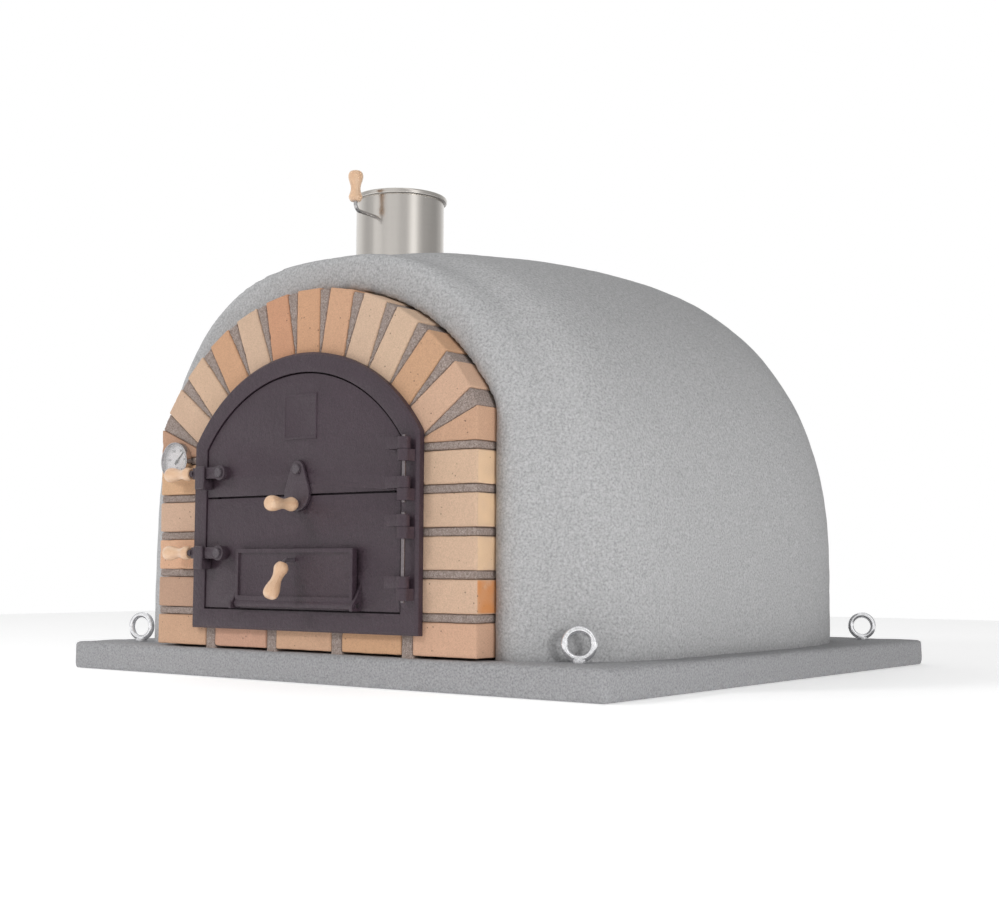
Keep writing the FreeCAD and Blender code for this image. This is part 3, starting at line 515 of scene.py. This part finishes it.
def weathered_brick(name, solid, finish, node, seed):
    """One brick with rounded arrises, small chips and slightly uneven faces."""
    mesh = remeshed(solid, BRICK_VOXEL)
    points = points_of(mesh)
    edges = edges_of(mesh)
    normals = normals_of(mesh)
    worn = smoothed(points, edges, 5)
    arris = np.clip(((points - worn) * normals).sum(axis=1) / (0.35 * MM), 0, 1)
    chip = np.clip(ripple(points, 0.016, seed) - 1.2, 0, 1.2)
    press = pressed(points, 0.030, 0.15 * MM, seed + 1) + arris * (0.05 + 0.9 * chip) * MM
    move_points(mesh, points - normals * press[:, None])
    add_piece(name, mesh, finish, node)


CLAY = (204, 162, 128)
PINK = (200, 158, 136)
ORANGE_SIDE = (213, 145, 92)
# The paler flank colour is painted light: the lit right flanks of the upper right jamb bricks,
# painted paler where the right lamps fall.
PAINTED_LIGHT_FLANK = (230, 196, 160)


def lay_bricks():
    """Every brick of the front as its own piece, in its own shade."""
    tones = {
        "arch_brick_01": (208, 178, 154), "arch_brick_02": (210, 179, 153),
        "arch_brick_03": (205, 162, 130), "arch_brick_04": (207, 178, 154),
        "arch_brick_05": (201, 152, 122), "arch_brick_06": (205, 160, 128),
        "arch_brick_07": (206, 164, 134), "arch_brick_08": (209, 180, 156),
        "arch_brick_09": (210, 181, 156), "arch_brick_10": (203, 162, 130),
        "arch_brick_11": (208, 172, 147), "springer_brick_left": (190, 152, 128),
        "springer_brick_right": (202, 163, 136),
    }
    for number, (node, tone) in enumerate(sorted(tones.items())):
        finish = brick_finish("clay_" + node, tone)
        weathered_brick(node + "_face", welded(NODES[node].data), finish, node, 100 + 3 * number)
    left = ((190, 156, 134), (220, 177, 147), (206, 174, 151), (216, 177, 142))
    right = ((212, 180, 155), (212, 181, 156), (211, 180, 155), (212, 181, 155))
    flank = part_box("jamb_bricks_right")[1].x
    sill_clay = (204, 166, 138)
    rows = (
        ("jamb_bricks_left", 2, left),
        ("jamb_bricks_right", 2, right),
        ("sill_bricks", 0, (sill_clay, PINK, sill_clay, CLAY, (210, 170, 144))),
    )
    for row, (node, axis, row_tones) in enumerate(rows):
        solids = islands(welded(NODES[node].data))
        solids.sort(key=lambda solid: float(points_of(solid)[:, axis].mean()))
        for number, solid in enumerate(solids):
            tone = row_tones[number % len(row_tones)]
            side = None
            if node == "jamb_bricks_right":
                # The lowest brick keeps its orange clay flank; the flanks above get painted light, a
                # paler tone where the right lamps fall.
                side = (flank, ORANGE_SIDE if number == 0 else PAINTED_LIGHT_FLANK)
            finish = brick_finish("clay_%s_%d" % (node, number + 1), tone, side)
            seed = 200 + 40 * row + 3 * number
            weathered_brick("%s_%d" % (node, number + 1), solid, finish, node, seed)


def raked_mortar():
    """The joints: gritty and slightly hollow between the bricks."""
    mesh = remeshed(welded(NODES["facade_mortar"].data), MORTAR_VOXEL)
    points = points_of(mesh)
    normals = normals_of(mesh)
    press = pressed(points, 0.045, 0.15 * MM, 31) + pressed(points, 0.011, 0.20 * MM, 32)
    points = points - normals * press[:, None]
    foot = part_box("facade_mortar")[0].z
    points[:, 2] -= np.clip(1 - (points[:, 2] - foot) / FOOT_HEIGHT, 0, 1) * FOOT_SINK
    move_points(mesh, points)
    add_piece("mortar_joints", mesh, mortar_finish(), "facade_mortar")


def softened(node, width):
    """A casting's mesh with its edges rounded as they come from the sand."""
    form = bmesh.new()
    form.from_mesh(NODES[node].data)
    bmesh.ops.remove_doubles(form, verts=form.verts, dist=WELD_DISTANCE)
    bmesh.ops.dissolve_limit(form, angle_limit=FLAT_ANGLE, verts=form.verts, edges=form.edges)
    mesh = bpy.data.meshes.new(node + "_cast")
    form.to_mesh(mesh)
    form.free()
    return evaluated(
        mesh,
        ("BEVEL", {"width": width, "segments": 2, "limit_method": "ANGLE",
                   "angle_limit": SHARP_ANGLE, "use_clamp_overlap": True}),
        ("WEIGHTED_NORMAL", {"keep_sharp": True}),
    )


def cast_parts():
    """Frame, doors and latches as sand castings."""
    dark = iron_finish("iron_cast", (67, 53, 62))
    fitting = iron_finish("iron_fitting", (74, 62, 70), 0.28, 0.42)
    names = (
        ("door_frame", CAST_BEVEL, dark),
        ("lower_door", CAST_BEVEL, dark),
        ("upper_door", CAST_BEVEL, dark),
        ("draught_flap", CAST_BEVEL, dark),
        ("lower_latch_lever", FITTING_BEVEL, fitting),
        ("upper_latch_lever", FITTING_BEVEL, fitting),
        ("centre_latch_plate", FITTING_BEVEL, fitting),
        ("lower_latch_keeper", KEEPER_BEVEL, fitting),
        ("upper_latch_keeper", KEEPER_BEVEL, fitting),
    )
    for node, width, finish in names:
        add_piece(node + "_casting", softened(node, width), finish, node)


DIAL_START = -135.0
DIAL_SWEEP = 270.0
DIAL_TOP = 500
DIAL_TICKS = 50
INK_HEIGHT = 0.12 * MM


def dial_marks():
    """A plain temperature scale, printed on the dial in raised black ink."""
    low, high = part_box("thermometer_dial")
    centre = (low + high) / 2
    face = low.y
    form = bmesh.new()

    def stand(mesh, angle, radius, turn):
        across = Vector((math.sin(angle), 0, math.cos(angle))) * radius
        place = Matrix.Translation(Vector((centre.x, face - INK_HEIGHT / 2, centre.z)) + across)
        spin = Matrix.Rotation(angle if turn else 0.0, 4, "Y")
        mesh.transform(place @ spin @ Matrix.Rotation(math.radians(90), 4, "X"))
        form.from_mesh(mesh)

    for tick in range(DIAL_TICKS + 1):
        angle = math.radians(DIAL_START + DIAL_SWEEP * tick / DIAL_TICKS)
        major = tick % 10 == 0
        length = (2.6 if major else 1.5) * MM
        half = (0.32 if major else 0.16) * MM
        bar = bmesh.new()
        bmesh.ops.create_cube(bar, size=1.0)
        bmesh.ops.scale(bar, vec=(2 * half, length, INK_HEIGHT), verts=bar.verts)
        mesh = bpy.data.meshes.new("tick")
        bar.to_mesh(mesh)
        bar.free()
        stand(mesh, angle, 27.4 * MM - length / 2, True)
    labels = [(str(value), DIAL_START + DIAL_SWEEP * value / DIAL_TOP, 19.6 * MM)
              for value in range(0, DIAL_TOP + 1, 100)]
    labels.append(("°C", 180.0, 11.0 * MM))
    for words, degrees, radius in labels:
        curve = bpy.data.curves.new("label", "FONT")
        curve.body = words
        curve.size = 6.0 * MM
        curve.align_x = "CENTER"
        curve.align_y = "CENTER"
        curve.extrude = INK_HEIGHT / 2
        text = bpy.data.objects.new("label", curve)
        bpy.context.scene.collection.objects.link(text)
        graph = bpy.context.evaluated_depsgraph_get()
        mesh = bpy.data.meshes.new_from_object(text.evaluated_get(graph))
        bpy.data.objects.remove(text)
        stand(mesh, math.radians(degrees), radius, False)
    mesh = bpy.data.meshes.new("dial_marks")
    form.to_mesh(mesh)
    form.free()
    mesh.materials.append(enamel_finish("dial_ink", (22, 21, 22), 0.4))
    marks = bpy.data.objects.new("dial_marks", mesh)
    bpy.context.scene.collection.objects.link(marks)
    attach(marks, BODY_OF["thermometer_dial"])


FLAP_GRIP_TILT = 61.0


def dress_nodes():
    """Finishes for the CAD nodes whose shape is right as it is."""
    tilt = math.radians(FLAP_GRIP_TILT)
    dress(beech_finish("beech_across", X_AXIS), "lower_latch_grip", "upper_latch_grip")
    dress(beech_finish("beech_outward", Y_AXIS), "centre_latch_knob")
    hanging = (0, -math.cos(tilt), -math.sin(tilt))
    dress(beech_finish("beech_hanging", hanging), "draught_handle_grip")
    dress(beech_finish("beech_upright", Z_AXIS), "damper_grip")
    dress(stainless_finish("stainless_pipe", (214, 209, 203)), "flue_pipe")
    dress(stainless_finish("stainless_plate", (186, 183, 178)), "damper_plate")
    dress(zinc_finish("zinc_bright", (240, 240, 242), 0.16, 0.30), "lifting_eye_bolts")
    dress(zinc_finish("steel_turned", (188, 186, 186), 0.18, 0.32), "damper_shaft", "damper_screws",
          "thermometer_stem", "frame_anchor_tabs")
    dress(zinc_finish("pin_steel", (132, 125, 128), 0.30, 0.45), "lower_hinge_pin", "upper_hinge_pin",
          "draught_flap_pin")
    dress(zinc_finish("bezel_steel", (206, 204, 205), 0.10, 0.20), "thermometer_case")
    dress(iron_finish("steel_blackened", (90, 82, 88), 0.30, 0.45), "lower_latch_pivot",
          "upper_latch_pivot", "centre_latch_pivot", "draught_handle_rod")
    dress(enamel_finish("dial_enamel", (222, 218, 220), 0.35), "thermometer_dial")
    dress(enamel_finish("needle_enamel", (20, 20, 21), 0.35), "thermometer_needle")
    dress(glass_finish(), "thermometer_glass")
    dress(refractory_finish("tile_pressed", (206, 186, 158), 260.0, 0.3 * MM), "hearth_tiles")
    dress(refractory_finish("refractory_cast", (190, 178, 160), 150.0, 0.8 * MM), "throat_arch",
          "dome_half_left", "dome_half_right")
    dress(blanket_finish(), "insulation_layer", "hearth_insulation_board")


CAMERA_PLACE = (1.5868, -2.1480, 0.1713)
CAMERA_YAW, CAMERA_PITCH, CAMERA_ROLL = -37.118, 4.780, 0.297
CAMERA_LENS = 52.64


def set_camera():
    """The camera at the photograph's viewing angle."""
    yaw, pitch, roll = (math.radians(angle) for angle in (CAMERA_YAW, CAMERA_PITCH, CAMERA_ROLL))
    forward = Vector((math.sin(yaw) * math.cos(pitch), math.cos(yaw) * math.cos(pitch),
                      math.sin(pitch)))
    level = forward.cross(Z_AXIS).normalized()
    above = level.cross(forward)
    right = level * math.cos(roll) + above * math.sin(roll)
    upward = above * math.cos(roll) - level * math.sin(roll)
    turn = Matrix((right, upward, -forward)).transposed().to_4x4()
    data = bpy.data.cameras.new("camera")
    data.lens = CAMERA_LENS
    data.sensor_width = 36.0
    camera = bpy.data.objects.new("camera", data)
    camera.matrix_world = Matrix.Translation(CAMERA_PLACE) @ turn
    bpy.context.scene.collection.objects.link(camera)
    bpy.context.scene.camera = camera


def add_softbox(name, place, target, size, power):
    """A soft lamp. The metal mirrors the room's bands instead of the lamp itself."""
    data = bpy.data.lights.new(name, "AREA")
    data.shape = "RECTANGLE"
    data.size, data.size_y = size
    data.energy = power
    lamp = bpy.data.objects.new(name, data)
    direction = Vector(target) - Vector(place)
    turn = direction.to_track_quat("-Z", "Y").to_matrix().to_4x4()
    lamp.matrix_world = Matrix.Translation(place) @ turn
    lamp.visible_glossy = False
    bpy.context.scene.collection.objects.link(lamp)


# Brightness round the room, from the left side at 0, past the front at a quarter, the right side at
# a half and the back at three quarters, to the left side again.
MIRRORED_BANDS = ((0.0, 1.0), (0.05, 0.80), (0.09, 0.58), (0.135, 0.64), (0.175, 0.98), (0.21, 0.98),
                  (0.24, 0.80), (0.27, 0.94), (0.31, 0.90), (0.36, 0.76), (0.40, 0.66), (0.425, 0.80),
                  (0.45, 1.45), (0.475, 1.45), (0.50, 0.75), (0.54, 0.50), (0.66, 0.42), (0.72, 0.60),
                  (0.80, 1.10), (1.0, 1.0))
ROOM_LIGHT = ((0.0, 1.00), (0.12, 0.70), (0.25, 0.28), (0.40, 0.26), (0.50, 0.26), (0.62, 0.18),
              (0.75, 0.20), (0.90, 0.70), (1.0, 1.00))
ROOF_SHARE = 1.3


def set_studio():
    """A white room with darker bands for the metal to mirror, and four soft lamps."""
    world = bpy.data.worlds.new("studio")
    world.use_nodes = True
    tree = world.node_tree
    add = tree.nodes.new
    link = tree.links.new
    background = tree.nodes["Background"]
    split = add("ShaderNodeSeparateXYZ")
    link(add("ShaderNodeTexCoord").outputs["Generated"], split.inputs[0])
    azimuth = add("ShaderNodeMath")
    azimuth.operation = "ARCTAN2"
    link(split.outputs["Y"], azimuth.inputs[0])
    link(split.outputs["X"], azimuth.inputs[1])
    share = add("ShaderNodeMapRange")
    share.inputs["From Min"].default_value = -math.pi
    share.inputs["From Max"].default_value = math.pi
    link(azimuth.outputs[0], share.inputs["Value"])

    def bands(stops):
        ramp = add("ShaderNodeValToRGB")
        link(share.outputs["Result"], ramp.inputs["Fac"])
        marks = ramp.color_ramp.elements
        while len(marks) < len(stops):
            marks.new(0.5)
        for mark, (position, value) in zip(marks, stops):
            mark.position = position
            mark.color = (value, value, value, 1.0)
        return ramp.outputs["Color"]

    def choose(switch, off, on):
        choice = add("ShaderNodeMix")
        choice.data_type = "RGBA"
        link(switch, choice.inputs[0])
        for socket, value in ((choice.inputs[6], off), (choice.inputs[7], on)):
            if isinstance(value, bpy.types.NodeSocket):
                link(value, socket)
            else:
                socket.default_value = value
        return choice.outputs[2]

    roof = add("ShaderNodeMapRange")
    link(split.outputs["Z"], roof.inputs["Value"])
    roof.inputs["From Min"].default_value = 0.3
    roof.inputs["From Max"].default_value = 0.7
    roof.inputs["To Min"].default_value = 1.0
    roof.inputs["To Max"].default_value = ROOF_SHARE
    room = add("ShaderNodeVectorMath")
    room.operation = "SCALE"
    link(bands(ROOM_LIGHT), room.inputs[0])
    link(roof.outputs["Result"], room.inputs["Scale"])
    path = add("ShaderNodeLightPath")
    light = choose(path.outputs["Is Glossy Ray"], room.outputs[0], bands(MIRRORED_BANDS))
    white = (1.0, 1.0, 1.0, 1.0)
    link(choose(path.outputs["Is Camera Ray"], light, white), background.inputs["Color"])
    bpy.context.scene.world = world
    add_softbox("softbox_right", (3.0, -0.9, 1.9), (0.2, -0.2, 0.3), (1.3, 1.6), 7.5)
    add_softbox("softbox_low", (3.1, -1.25, 0.62), (0.3, -0.3, 0.25), (0.7, 0.5), 25.0)
    add_softbox("softbox_front", (2.4, -2.6, 1.5), (0.0, -0.2, 0.3), (1.4, 1.4), 5.0)
    add_softbox("softbox_left", (-1.3, -3.0, 2.2), (0.0, -0.4, 0.3), (0.6, 0.6), 31.0)


def lay_floor():
    """A plain pale floor under the slab."""
    form = bmesh.new()
    bmesh.ops.create_grid(form, x_segments=8, y_segments=8, size=3.2)
    mesh = bpy.data.meshes.new("floor")
    form.to_mesh(mesh)
    form.free()
    finish = Finish("floor_paper", Roughness=0.9, Specular_IOR_Level=0.1, Emission_Strength=0.33,
                    Emission_Color=(1.0, 1.0, 1.0, 1.0))
    cloud = finish.noise(2.0, 2.0)
    mesh.materials.append(finish.paint(finish.ramp(cloud, (0.3, (0.95, 0.95, 0.95, 1)),
                                                   (0.7, (0.97, 0.97, 0.97, 1)))))
    floor = bpy.data.objects.new("floor", mesh)
    floor.location.z = cad_low.z - 0.5 * MM
    bpy.context.scene.collection.objects.link(floor)


dress_nodes()
sprayed_shell()
cast_slab()
lay_bricks()
raked_mortar()
cast_parts()
dial_marks()
lay_floor()
set_studio()
set_camera()
bpy.context.scene.view_settings.view_transform = "Standard"
